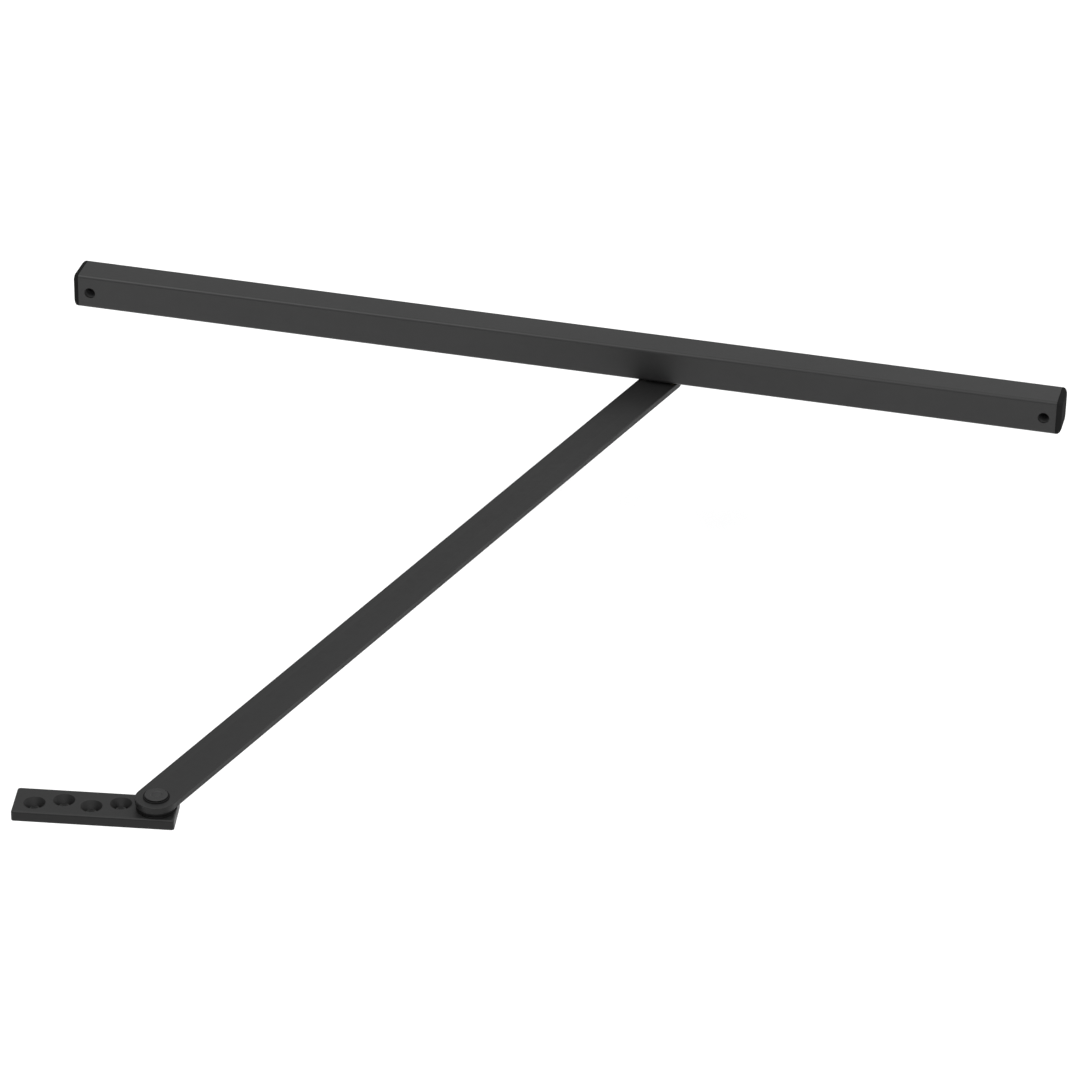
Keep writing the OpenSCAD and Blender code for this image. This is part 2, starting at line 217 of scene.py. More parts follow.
def skin_rings(rings):
    """A closed mesh through rings of points, capped at both ends."""
    bm = bmesh.new()
    made = [[bm.verts.new(p) for p in ring] for ring in rings]
    count = len(made[0])
    for low, high in zip(made, made[1:]):
        for i in range(count):
            j = (i + 1) % count
            bm.faces.new((low[i], low[j], high[j], high[i]))
    bm.faces.new(list(reversed(made[0])))
    bm.faces.new(made[-1])
    return bm


def slab(outline, z0, z1, low_edge, high_edge, steps=4):
    """A plate on an outline maker, from z0 to z1, with its lower and upper edges rounded."""
    turns = [math.pi / 2 * k / steps for k in range(steps + 1)]
    levels = [(z0 + low_edge * (1 - math.cos(a)), low_edge * (1 - math.sin(a))) for a in turns]
    levels += [(z1 - high_edge * (1 - math.sin(a)), high_edge * (1 - math.cos(a))) for a in turns]
    return skin_rings([[(x, y, z) for x, y in outline(inset)] for z, inset in levels])


def lathe(profile, steps=96):
    """Turns an outline of (radius, height) points about the Z axis."""
    on_axis = 1e-7
    bm = bmesh.new()
    rings = []
    for r, z in profile:
        count = 1 if r < on_axis else steps
        turns = [TAU * i / steps for i in range(count)]
        rings.append([bm.verts.new((r * math.cos(a), r * math.sin(a), z)) for a in turns])
    for low, high in zip(rings, rings[1:] + rings[:1]):
        if len(low) == len(high) == 1:
            continue
        for i in range(steps):
            j = (i + 1) % steps
            corners = [low[i % len(low)], low[j % len(low)], high[j % len(high)], high[i % len(high)]]
            bm.faces.new(list(dict.fromkeys(corners)))
    return bm


def turned(points, radii, steps=96):
    """A turned piece from (radius, height) corners; corners on the axis stay sharp."""
    radii = radii if isinstance(radii, list) else [0 if r == 0 else radii for r, z in points]
    return lathe(rounded(points, radii), steps)


def disc(r, z0, z1, edge):
    """A solid cylinder with rounded edges."""
    return turned([(0, z0), (r, z0), (r, z1), (0, z1)], edge, 64)


def ring(inner, outer, z0, z1, edge):
    """A hollow cylinder with rounded edges."""
    return turned([(inner, z0), (outer, z0), (outer, z1), (inner, z1)], edge)


def threaded(r, z0, z1, pitch, depth):
    """Profile of a threaded stretch, as rows of grooves from z0 up to z1."""
    rows = int((z1 - z0) / pitch)
    points = []
    for i in range(rows):
        z = z0 + i * pitch
        points += [(r, z + 0.15 * pitch), (r - depth, z + 0.5 * pitch), (r, z + 0.85 * pitch)]
    return points


def put(bm, offset, yaw=0.0):
    """The mesh turned about Z and then moved."""
    bm.transform(Matrix.Translation(offset) @ Matrix.Rotation(yaw, 4, "Z"))
    return bm


def lay_x(bm, x, way=1):
    """Lays a mesh built along +Z on the channel's middle line, from a start, to +X or to -X."""
    bm.transform(Matrix.Translation((x, MID_Y, 0)) @ Matrix.Rotation(way * math.pi / 2, 4, "Y"))
    return bm


def lay_y(bm, x, y, z):
    """Lays a mesh built along +Z front to back, from a start point."""
    bm.transform(Matrix.Translation((x, y, z)) @ Matrix.Rotation(-math.pi / 2, 4, "X"))
    return bm


def section(bm):
    """Stands a mesh built on a (depth, height) outline along +X."""
    bm.transform(Matrix(((0, 0, 1, 0), (1, 0, 0, 0), (0, 1, 0, 0), (0, 0, 0, 1))))
    return bm


def joined(*meshes):
    """Several meshes as one."""
    out = bmesh.new()
    for bm in meshes:
        data = bpy.data.meshes.new("part")
        bm.to_mesh(data)
        bm.free()
        out.from_mesh(data)
        bpy.data.meshes.remove(data)
    return out


def as_object(name, bm):
    """An object in the scene, made from a mesh whose faces are turned outwards."""
    data = bpy.data.meshes.new(name)
    bmesh.ops.recalc_face_normals(bm, faces=bm.faces)
    bm.to_mesh(data)
    bm.free()
    obj = bpy.data.objects.new(name, data)
    bpy.context.scene.collection.objects.link(obj)
    return obj


def cut(bm, *cutters):
    """The mesh with each cutter taken away from it."""
    body = as_object("cut_body", bm)
    tools = [as_object("cut_tool", c) for c in cutters]
    for tool in tools:
        mod = body.modifiers.new("cut", "BOOLEAN")
        mod.object = tool
        mod.operation = "DIFFERENCE"
        mod.solver = "EXACT"
    bpy.context.view_layer.update()
    shaped = body.evaluated_get(bpy.context.evaluated_depsgraph_get())
    done = bpy.data.meshes.new_from_object(shaped)
    out = bmesh.new()
    out.from_mesh(done)
    bpy.data.meshes.remove(done)
    for obj in [body] + tools:
        data = obj.data
        bpy.data.objects.remove(obj)
        bpy.data.meshes.remove(data)
    return out


def hole(r, z0, z1, rim, csk_r=0.0, csk_depth=0.0):
    """Cutter along Z for a hole from z0 to z1, with rounded rims and, if asked, a countersink on top."""
    far = r + csk_r + OVER
    low = fillet((far, z0), (r, z0), (r, z1), rim)
    if csk_r:
        high = [(r, z1 - csk_depth)] + fillet((r, z1 - csk_depth), (csk_r, z1), (far, z1), rim)
    else:
        high = fillet((r, z0), (r, z1), (far, z1), rim)
    profile = [(0, z0 - OVER), (low[0][0], z0 - OVER)] + low + high
    return lathe(profile + [(high[-1][0], z1 + OVER), (0, z1 + OVER)], 64)


# ---- materials ----

class Shader:
    """A material's node tree, with short ways to add nodes and to join them."""

    def __init__(self, name):
        self.material = bpy.data.materials.new(name)
        self.material.use_nodes = True
        self.tree = self.material.node_tree
        self.bsdf = self.tree.nodes["Principled BSDF"]
        self.place = self.add("ShaderNodeTexCoord").outputs["Object"]

    def add(self, kind, **settings):
        """A new node with the given settings."""
        node = self.tree.nodes.new(kind)
        for key, value in settings.items():
            setattr(node, key, value)
        return node

    def feed(self, socket, value):
        """Joins a node's output to the socket, or sets the socket to a plain value."""
        if isinstance(value, bpy.types.NodeSocket):
            self.tree.links.new(value, socket)
        else:
            socket.default_value = value

    def noise(self, scale, detail=2.0, rough=0.5, stretch=(1, 1, 1)):
        """Noise with a grain size of about 1 / scale metres, squeezed along each axis by stretch."""
        spread = self.add("ShaderNodeMapping")
        self.feed(spread.inputs["Vector"], self.place)
        spread.inputs["Scale"].default_value = stretch
        node = self.add("ShaderNodeTexNoise")
        self.feed(node.inputs["Vector"], spread.outputs["Vector"])
        node.inputs["Scale"].default_value = scale
        node.inputs["Detail"].default_value = detail
        node.inputs["Roughness"].default_value = rough
        return node.outputs["Fac"]

    def specks(self, scale, size):
        """1 in small round specks and 0 elsewhere, about 1 / scale metres apart."""
        node = self.add("ShaderNodeTexVoronoi")
        self.feed(node.inputs["Vector"], self.place)
        node.inputs["Scale"].default_value = scale
        return self.span(node.outputs["Distance"], size, 0, 1, 0)

    def span(self, value, from_low, from_high, to_low, to_high):
        """The value moved from one range to another, held at its ends."""
        node = self.add("ShaderNodeMapRange")
        low, high = min(from_low, from_high), max(from_low, from_high)
        if from_low > from_high:
            to_low, to_high = to_high, to_low
        for name, v in (("Value", value), ("From Min", low), ("From Max", high),
                        ("To Min", to_low), ("To Max", to_high)):
            self.feed(node.inputs[name], v)
        return node.outputs["Result"]

    def math(self, operation, a, b):
        """The result of an operation on two values."""
        node = self.add("ShaderNodeMath", operation=operation)
        self.feed(node.inputs[0], a)
        self.feed(node.inputs[1], b)
        return node.outputs["Value"]

    def blend(self, factor, a, b):
        """Colour a where the factor is 0 and colour b where it is 1."""
        node = self.add("ShaderNodeMix", data_type="RGBA")
        self.feed(node.inputs["Factor"], factor)
        self.feed(node.inputs[6], a)
        self.feed(node.inputs[7], b)
        return node.outputs[2]

    def hollows(self, reach):
        """1 deep in a hollow of the piece itself and 0 on its open faces; a mask for painted shade in
        hollows.
        """
        node = self.add("ShaderNodeAmbientOcclusion", only_local=True, samples=8)
        node.inputs["Distance"].default_value = reach
        return self.span(node.outputs["AO"], 0.97, 0.72, 0, 1)

    def edges(self):
        """1 on sharp outer edges and 0 on flat faces."""
        point = self.add("ShaderNodeNewGeometry").outputs["Pointiness"]
        return self.span(point, 0.52, 0.60, 0, 1)

    def bump(self, height, depth, below=None):
        """Relief of the given depth in metres, laid over the relief below it."""
        node = self.add("ShaderNodeBump")
        node.inputs["Strength"].default_value = 1
        node.inputs["Distance"].default_value = depth
        self.feed(node.inputs["Height"], height)
        if below is not None:
            self.feed(node.inputs["Normal"], below)
        return node.outputs["Normal"]

    def set(self, **values):
        """Sets or joins the shader's own sockets, named in words joined by underscores."""
        names = {s.name.lower().replace(" ", "_"): s for s in self.bsdf.inputs}
        for key, value in values.items():
            self.feed(names[key], value)


def grey(v, tint=(1.0, 1.0, 1.0)):
    """A grey colour, or a slightly tinted one."""
    return (v * tint[0], v * tint[1], v * tint[2], 1)


def powder_coat(name, tone, sheen=0.43):
    """Satin black powder coat: fine orange peel, faint cloudiness, painted shade in hollows and edges
    lightened partly as wear, partly as painted highlight.
    """
    edge_wear_and_highlight, polish = 0.08, 0.08
    s = Shader(name)
    cloud = s.noise(22, 3)
    patch = s.noise(160, 2)
    edge = s.math("MULTIPLY", s.edges(), s.span(patch, 0.35, 0.65, 0.35, 1))
    base = s.blend(s.span(cloud, 0.3, 0.7, 0, 1), grey(0.9 * tone), grey(1.1 * tone))
    base = s.blend(s.specks(420, 0.05), base, grey(2 * tone))
    # edges lightened, partly as wear and partly as a painted highlight
    base = s.blend(s.math("MULTIPLY", edge, edge_wear_and_highlight), base, grey(2.2 * tone))
    hollow = s.hollows(6 * MM)
    # painted shade: the coat is darkened deep in the piece's own hollows
    base = s.blend(hollow, base, grey(0.5 * tone))
    mixed = s.math("ADD", s.math("MULTIPLY", cloud, 0.5), s.math("MULTIPLY", patch, 0.5))
    rough = s.span(mixed, 0.3, 0.7, 0.40, 0.52)
    peel = s.bump(s.noise(750, 2), 0.025 * MM)
    s.set(base_color=base, roughness=s.math("SUBTRACT", rough, s.math("MULTIPLY", edge, polish)),
          normal=s.bump(s.noise(3200, 2, 0.6), 0.006 * MM, peel), specular_ior_level=sheen)
    return s.material


def moulded_plastic(name, dark, light, rough, ior, depth=0.0):
    """Moulded plastic with a fine spark-eroded texture; depth lets light a little way in."""
    s = Shader(name)
    cloud = s.noise(60, 3)
    grain = s.noise(2600, 3, 0.6)
    s.set(base_color=s.blend(s.span(cloud, 0.3, 0.7, 0, 1), dark, light),
          roughness=s.span(grain, 0.3, 0.7, rough - 0.07, rough + 0.07),
          normal=s.bump(grain, 0.012 * MM, s.bump(cloud, 0.02 * MM)), subsurface_weight=depth, ior=ior)
    if depth:
        s.set(subsurface_radius=(0.002, 0.0018, 0.0014), subsurface_scale=0.5)
    return s.material


def rubber():
    """Matt moulded rubber with a dusty bloom."""
    s = Shader("black_rubber")
    bloom = s.noise(190, 4, 0.6)
    s.set(base_color=s.blend(s.span(bloom, 0.4, 0.75, 0, 1), grey(0.016), grey(0.04)),
          roughness=s.span(bloom, 0.3, 0.7, 0.72, 0.88),
          normal=s.bump(s.noise(1500, 3), 0.02 * MM))
    return s.material


def metal(name, dark, light, rough, grain=(1, 1, 1), metallic=1.0, pits=0.0, sheen=0.5):
    """Bare, plated or blackened metal; grain squeezes the tool marks along the axis that they cross."""
    s = Shader(name)
    cloud = s.noise(140, 4, 0.6)
    marks = s.noise(60, 4, 0.65, grain)
    edge = s.edges()
    base = s.blend(s.span(cloud, 0.3, 0.7, 0, 1), dark, light)
    rubbed = tuple(min(1, 1.6 * c) for c in light[:3]) + (1,)
    base = s.blend(s.math("MULTIPLY", edge, 0.35), base, rubbed)
    normal = s.bump(marks, 0.008 * MM)
    if pits:
        normal = s.bump(s.noise(900, 4, 0.7), pits, normal)
    s.set(base_color=base, metallic=metallic, normal=normal, specular_ior_level=sheen,
          roughness=s.span(marks, 0.3, 0.7, rough - 0.08, rough + 0.1))
    return s.material


ALONG_X, ALONG_Z, CAST = (70, 1, 1), (1, 1, 70), (3, 3, 3)
NYLON_DARK, NYLON_LIGHT = (0.62, 0.59, 0.5, 1), (0.7, 0.67, 0.58, 1)
STRAW, WARM = (1, 0.99, 0.95), (1, 0.97, 0.92)
BRONZE_DARK, BRONZE_LIGHT = (0.42, 0.26, 0.11, 1), (0.5, 0.33, 0.15, 1)

# One material for each slot of the record.
materials = {
    "black_powder_coat": powder_coat("black_powder_coat", 0.006),
    "black_plastic": moulded_plastic("black_plastic", grey(0.011), grey(0.014), 0.85, 1.1),
    "black_rubber": rubber(),
    "natural_nylon": moulded_plastic("natural_nylon", NYLON_DARK, NYLON_LIGHT, 0.42, 1.53, 0.15),
    "black_oxide_steel": metal("black_oxide_steel", grey(0.055), grey(0.075), 0.6, ALONG_Z,
                               metallic=0.1, sheen=0.25),
    "zinc_block": metal("zinc_block", grey(0.3), grey(0.38), 0.5, CAST, pits=0.03 * MM),
    "plated_steel": metal("plated_steel", grey(0.5, STRAW), grey(0.6), 0.26, ALONG_Z),
    "spring_steel": metal("spring_steel", grey(0.16), grey(0.24, WARM), 0.34, ALONG_X),
    "bronze": metal("bronze", BRONZE_DARK, BRONZE_LIGHT, 0.4, CAST, pits=0.015 * MM),
}

# Sub-parts given copies of their slot's material with another depth of black and sheen.
special = {
    "arm": powder_coat("black_powder_coat_arm", 0.005, 0.31),
    "jamb_bracket": powder_coat("black_powder_coat_bracket", 0.0065, 0.3),
    "pivot_rivet": powder_coat("black_powder_coat_rivet", 0.006, 0.42),
}
# Black oxide made nearly black and dull on the lower washers, as painted shade of the gap under the arm's
# end.
washer_oxide_and_shade = metal("black_oxide_washer", grey(0.005), grey(0.009), 0.7, ALONG_Z, metallic=0, sheen=0.08)
special["pivot_spring_washer"] = special["pivot_washer_lower"] = washer_oxide_and_shade
# A darker, less glossy copy of the coat, laid on upright walls and countersinks as painted shade.
upright_shade_coat = powder_coat("black_powder_coat_walls", 0.004, 0.24)


# ---- pieces ----

def piece(node, bm, smooth=35):
    """Makes the shown piece that stands for a CAD node, on the node's body and in its material."""
    obj = as_object(node + "_piece", bm)
    obj.data.shade_smooth()
    obj.data.set_sharp_from_angle(angle=math.radians(smooth))
    level = obj.modifiers.new("even_normals", "WEIGHTED_NORMAL")
    level.keep_sharp = True
    level.weight = 100
    obj.data.materials.append(special.get(node, materials[node_slots[node]]))
    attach(obj, node_body[node])
    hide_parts(node)
    return obj


def paint_shade_on_faces(obj, test):
    """Gives the faces that pass the test a darker, duller copy of the coat: painted shade on upright walls
    and in countersinks.
    """
    obj.data.materials.append(upright_shade_coat)
    for face in obj.data.polygons:
        face.material_index = int(test(face))


def stands(face):
    """Whether a face stands up rather than lying flat."""
    return abs(face.normal.z) < 0.5


def in_countersink(face):
    """Whether a face of the jamb bracket lies on the slope of a countersink."""
    yaw = Matrix.Rotation(BRACKET_YAW, 2)
    axes = (JAMB_PIVOT.xy + yaw @ Vector(bracket_hole(i)) for i in range(HOLE_COUNT))
    near = CSK_R - 0.3 * MM
    return abs(face.normal.z) < 0.9 and any((face.center.xy - axis).length < near for axis in axes)


def channel():
    """Square tube with a slot underneath, its face screw holes and the spring seat's pin hole."""
    low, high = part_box("channel")
    half_slot, lip = SLOT_W / 2, 0.25 * MM
    inner_front, inner_back = low.y + FRONT_WALL, high.y - BACK_WALL
    floor_z, roof_z = low.z + SKIN, high.z - SKIN
    corners = [(MID_Y - half_slot, low.z), (MID_Y - half_slot, floor_z), (inner_front, floor_z),
               (inner_front, roof_z), (inner_back, roof_z), (inner_back, floor_z),
               (MID_Y + half_slot, floor_z), (MID_Y + half_slot, low.z), (high.y, low.z),
               (high.y, high.z), (low.y, high.z), (low.y, low.z)]
    radii = [lip] * 8 + [SECTION_R] * 4
    bm = section(slab(inset_of(rounded(corners, radii, 8)), low.x, high.x, 0.1 * MM, 0.1 * MM, 1))
    cutters = []
    for x in (-FACE_SCREW_X, FACE_SCREW_X):
        cutters.append(lay_y(hole(FACE_SCREW_R, 0, FRONT_WALL, 0.25 * MM), x, low.y, FACE_SCREW_Z))
        cutters.append(lay_y(hole(FACE_SCREW_R, 0, BACK_WALL, 0.25 * MM), x, inner_back, FACE_SCREW_Z))
    pin_low, pin_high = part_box("seat_pin")
    pin, pin_r = (pin_low + pin_high) / 2, (pin_high.x - pin_low.x) / 2
    cutters.append(lay_y(hole(pin_r, 0, BACK_WALL, 0.15 * MM), pin.x, inner_back, pin.z))
    return cut(bm, *cutters)


def end_cap(node, way):
    """Pillow-edged moulded cap with a plug; way is -1 at the left end and 1 at the right."""
    low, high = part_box("channel")
    cap_low, cap_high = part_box(node)
    start = high.x if way > 0 else low.x
    length = cap_high.x - start if way > 0 else start - cap_low.x
    plug = (cap_high.x - cap_low.x) - length
    outline = round_box(low.y, high.y, low.z, high.z, SECTION_R, 0.5)
    plate = slab(outline, 0, length, 0.2 * MM, CAP_ROUND, 8)
    stub = put(disc(PLUG_R, -plug, 0.5 * MM, 0.3 * MM), (MID_Y, 0, 0))
    bm = section(joined(plate, stub))
    bm.transform(Matrix.Translation((start, 0, 0)) @ Matrix.Diagonal((way, 1, 1, 1)))
    return bm


def block_slab(node, edge):
    """A block that fills the space inside the channel, standing on its own box."""
    low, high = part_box(node)
    return section(slab(round_box(low.y, high.y, low.z, high.z, 2 * edge), low.x, high.x, edge, edge))


def end_block(node, way):
    """Block bored for the face screw and the set screw, with a pocket for the cap's plug."""
    low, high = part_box(node)
    screw_low, screw_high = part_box("set_screws")
    outer = high.x if way > 0 else low.x
    screw_x = way * ((screw_high.x - screw_low.x) / 2 - SET_SCREW_R)
    face_bore = hole(FACE_SCREW_R, 0, high.y - low.y, 0.4 * MM)
    set_bore = hole(SET_SCREW_R, low.z, high.z, 0.4 * MM)
    pocket = disc(PLUG_R, -OVER, 3 * MM, 0.3 * MM)
    return cut(block_slab(node, 0.4 * MM), lay_y(face_bore, way * FACE_SCREW_X, low.y, FACE_SCREW_Z),
               put(set_bore, (screw_x, MID_Y, 0)), lay_x(pocket, outer, -way))


def set_screws():
    """Two socket screws, with threads, a cup point and a hexagonal socket in the lower end."""
    low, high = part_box("set_screws")
    r, length = SET_SCREW_R, high.z - low.z
    thread = threaded(r, 0.3 * MM, length - 0.6 * MM, 0.8 * MM, 0.35 * MM)
    cup_point = [(1.6 * MM, length), (1 * MM, length), (0, length - 0.5 * MM)]
    profile = [(0, 0), (r - 0.5 * MM, 0)] + thread + cup_point
    made = []
    for x in (low.x + r, high.x - r):
        socket = slab(hexagon(1.6 * MM), -OVER, 3 * MM, 0, 0.3 * MM)
        made.append(put(cut(lathe(profile, 48), socket), (x, MID_Y, low.z)))
    return joined(*made)


def pad(node, way):
    """A rubber pad along the channel, with a domed face and a groove round its rim."""
    dome = 0.8 * MM
    low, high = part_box(node)
    r, t = (high.y - low.y) / 2, high.x - low.x
    points = [(0, 0), (r, 0), (r, 0.4 * t), (r - 0.5 * MM, 0.5 * t), (r, 0.6 * t), (r, t - dome),
              (r * 0.75, t - dome * 0.3), (0, t)]
    radii = [0, 0.2 * MM, 0.1 * MM, 0.2 * MM, 0.1 * MM, 0.6 * MM, 3 * MM, 0]
    return lay_x(turned(points, radii), low.x if way > 0 else high.x, way)


def spring_seat():
    """Block with a bore for the buffer's rod and a blind hole for its pin."""
    low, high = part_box("spring_seat")
    pin_low, pin_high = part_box("seat_pin")
    pin = (pin_low + pin_high) / 2
    rod_bore = hole(ROD_R + 0.08 * MM, 0, high.x - low.x, 0.4 * MM)
    pin_bore = disc(SEAT_PIN_R, 0, pin_high.y - pin_low.y, 0.1 * MM)
    return cut(block_slab("spring_seat", 0.4 * MM), lay_x(rod_bore, low.x),
               lay_y(pin_bore, pin.x, pin_low.y, pin.z))


def pin_along_y(node, edge):
    """A plain pin that lies front to back and fills its box."""
    low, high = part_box(node)
    mid = (low + high) / 2
    return lay_y(disc((high.x - low.x) / 2, 0, high.y - low.y, edge), mid.x, low.y, mid.z)


def buffer_rod():
    """Plain rod with a threaded tail."""
    low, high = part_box("buffer_rod")
    tail, length, bevel = 6 * MM, high.x - low.x, 0.3 * MM
    thread = threaded(ROD_R, 0.2 * MM, tail, 0.8 * MM, 0.3 * MM)
    plain = [(ROD_R, tail + bevel), (ROD_R, length - bevel), (ROD_R - bevel, length), (0, length)]
    return lay_x(lathe([(0, 0), (ROD_R - 0.6 * MM, 0)] + thread + plain, 64), low.x)


def buffer_nut():
    """Hexagonal nut on the rod's tail."""
    low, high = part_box("buffer_nut")
    edge, width = 0.3 * MM, high.x - low.x
    nut = slab(hexagon((high.z - low.z) / 2), 0, width, edge, edge, 2)
    return lay_x(cut(nut, hole(ROD_R, 0, width, edge)), low.x)


def buffer_head():
    """Round plunger head with a spring shoulder behind and a relief groove."""
    low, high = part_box("buffer_head")
    r, length = (high.y - low.y) / 2, high.x - low.x
    socket, shoulder_r, shoulder = 2 * MM, 4.6 * MM, 0.6 * MM
    groove_r = r - 0.7 * MM
    points = [(0, socket), (ROD_R, socket), (ROD_R, 0), (shoulder_r, 0), (shoulder_r, shoulder),
              (r, shoulder), (r, 4 * MM), (groove_r, 4.5 * MM), (groove_r, 5.5 * MM), (r, 6 * MM),
              (r, length), (0, length)]
    radii = [edge * MM for edge in (0, 0, 0.2, 0.2, 0.1, 0.4, 0.2, 0.2, 0.2, 0.2, 0.5, 0)]
    return lay_x(turned(points, radii), low.x)


def shock_spring():
    """Compression spring with closed ends and open middle turns."""
    low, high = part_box("shock_spring")
    coil_r = (high.y - low.y) / 2 - WIRE_R
    closed_pitch, sides, steps = 2.05 * WIRE_R, 12, 32
    x0, run = low.x + WIRE_R, high.x - low.x - 2 * WIRE_R
    open_pitch = (run - 2 * closed_pitch) / (SPRING_TURNS - 2)
    slope = math.atan(open_pitch / (TAU * coil_r))
    last = SPRING_TURNS - 1
    rings = []
    for i in range(SPRING_TURNS * steps + 1):
        t = i / steps
        x = x0 + closed_pitch * min(t, 1) + open_pitch * max(0, min(t, last) - 1)
        x += closed_pitch * max(0, t - last)
        a = TAU * t
        out = Vector((0, math.cos(a), math.sin(a)))
        along = Vector((math.sin(slope), -math.sin(a) * math.cos(slope), math.cos(a) * math.cos(slope)))
        side = along.cross(out)
        centre = Vector((x, MID_Y, 0)) + out * coil_r
        turns = [TAU * k / sides for k in range(sides)]
        rings.append([centre + out * (WIRE_R * math.cos(b)) + side * (WIRE_R * math.sin(b)) for b in turns])
    return skin_rings(rings)


def slide_block():
    """Carriage with the post's bore and head recess, the post's pin hole and the shoes' peg holes."""
    low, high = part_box("slide_block")
    pin_low, pin_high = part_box("stud_pin")
    x, depth = SLIDE_PIVOT.x, high.y - low.y
    cutters = [put(hole(STUD_R, low.z, high.z, 0.3 * MM), (x, MID_Y, 0)),
               put(disc(STUD_HEAD_R, high.z - STUD_HEAD_T, high.z + OVER, 0.1 * MM), (x, MID_Y, 0)),
               lay_y(hole(1.5 * MM, 0, depth, 0.2 * MM), x, low.y, (pin_low.z + pin_high.z) / 2)]
    cutters += [lay_y(hole(PEG_R, 0, depth, 0.2 * MM), x + side * PEG_X, low.y, 0) for side in (-1, 1)]
    return cut(block_slab("slide_block", 0.6 * MM), *cutters)


def slide_shoe(node):
    """Wear shoe of one side: wall plate, foot, flange and two pegs, all with softened ends."""
    low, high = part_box(node)
    front = low.y < MID_Y - 4 * MM
    wall, foot, foot_t = 1.8 * MM, 3 * MM, 1.6 * MM
    y, way = (low.y, 1) if front else (high.y, -1)
    inner, tip = y + way * wall, y + way * foot
    corners = [(y, low.z), (tip, low.z), (tip, low.z + foot_t), (inner, low.z + foot_t),
               (inner, high.z - foot_t), (tip, high.z - foot_t), (tip, high.z), (y, high.z)]
    corners = corners if front else corners[::-1]
    plate = section(slab(inset_of(rounded(corners, 0.35 * MM)), low.x, high.x, 0.3 * MM, 0.3 * MM))
    root = 0.2 * MM
    peg_len = high.y - low.y - wall + root
    start = inner - root if front else low.y
    pegs = [lay_y(disc(PEG_R, 0, peg_len, 0.3 * MM), SLIDE_PIVOT.x + side * PEG_X, start, 0)
            for side in (-1, 1)]
    return joined(plate, *pegs)


def slide_stud():
    """Flat-headed post with a clip groove near its lower end."""
    low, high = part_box("slide_stud")
    clip_low, clip_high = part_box("stud_clip")
    groove_r, under = 2.8 * MM, high.z - STUD_HEAD_T
    points = [(0, low.z), (STUD_R, low.z), (STUD_R, clip_low.z), (groove_r, clip_low.z),
              (groove_r, clip_high.z), (STUD_R, clip_high.z), (STUD_R, under), (STUD_HEAD_R, under),
              (STUD_HEAD_R, high.z), (0, high.z)]
    radii = [edge * MM for edge in (0, 0.5, 0.1, 0.05, 0.05, 0.1, 0.2, 0.2, 0.4, 0)]
    return put(turned(points, radii), (SLIDE_PIVOT.x, MID_Y, 0))


def stud_clip():
    """E-shaped spring clip: an open ring with three inner lugs, its mouth towards the front."""
    low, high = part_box("stud_clip")
    outer, bore, lug, edge = 6 * MM, 4.2 * MM, 2.85 * MM, 0.08 * MM
    mouth, lug_half, slope = 22, 13, 4
    points = arc(0, 0, outer, -90 + mouth, 270 - mouth, 72)
    for start, end, r in ((270 - mouth, 218, lug), (210, 90 + lug_half + slope, bore),
                          (90 + lug_half, 90 - lug_half, lug),
                          (90 - lug_half - slope, -30, bore), (-38, -90 + mouth, lug)):
        points += arc(0, 0, r, start, end, 12)
    clip = slab(inset_of(points), low.z, high.z, edge, edge, 2)
    return put(clip, (SLIDE_PIVOT.x, MID_Y, 0))


def pivot_ring(node, pivot, bore, edge=0.12 * MM):
    """A washer, bush or sleeve round one of the two pivots, as tall and wide as its box."""
    low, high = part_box(node)
    return put(ring(bore, (high.x - low.x) / 2, low.z, high.z, edge), (pivot.x, pivot.y, 0))


def arm():
    """Flat bar with round ends, softened edges and a bush hole at each pivot."""
    low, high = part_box("arm")
    edge, rim = 0.5 * MM, 0.2 * MM
    bar = slab(stadium(ARM_LINE.length, ARM_W / 2), low.z, high.z, edge, edge)
    jamb_hole = hole(RIVET_R + BUSH_WALL, low.z, high.z, rim)
    slide_hole = put(hole(STUD_R + BUSH_WALL, low.z, high.z, rim), (ARM_LINE.length, 0, 0))
    return put(cut(bar, jamb_hole, slide_hole), (JAMB_PIVOT.x, JAMB_PIVOT.y, 0),
               math.atan2(ARM_LINE.y, ARM_LINE.x))


def rivet_profile(grow=0.0):
    """Corners of the rivet's shank and spread tail, from its lower end up to the arm."""
    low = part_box("jamb_bracket")[0].z
    tail_r, tail = 6 * MM, 2 * MM
    return [(0, low), (tail_r + grow, low), (RIVET_R + grow, low + tail)]


def bracket_hole(i):
    """Where countersunk hole i is, measured from the pivot along and across the bracket."""
    return PIVOT_INSET - BRACKET_LEN + FIRST_HOLE + i * HOLE_PITCH, HOLE_STEP * (i % 2 * 2 - 1)


def jamb_bracket():
    """Flat bar with a soft upper edge, four countersunk holes in a zigzag and the rivet's hole."""
    low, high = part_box("jamb_bracket")
    x0 = PIVOT_INSET - BRACKET_LEN
    bar = slab(round_box(x0, PIVOT_INSET, -BRACKET_W / 2, BRACKET_W / 2, 1.4 * MM),
               low.z, high.z, 0.3 * MM, 1.1 * MM, 6)
    cutters = [put(hole(BRACKET_HOLE_R, low.z, high.z, 0.3 * MM, CSK_R, CSK_DEPTH),
                   (*bracket_hole(i), 0)) for i in range(HOLE_COUNT)]
    tail = rivet_profile(0.02 * MM)
    under = [(0, low.z - OVER), (tail[1][0], low.z - OVER)]
    cutters.append(lathe(under + tail[1:] + [(tail[2][0], high.z + OVER), (0, high.z + OVER)]))
    return put(cut(bar, *cutters), (JAMB_PIVOT.x, JAMB_PIVOT.y, 0), BRACKET_YAW)


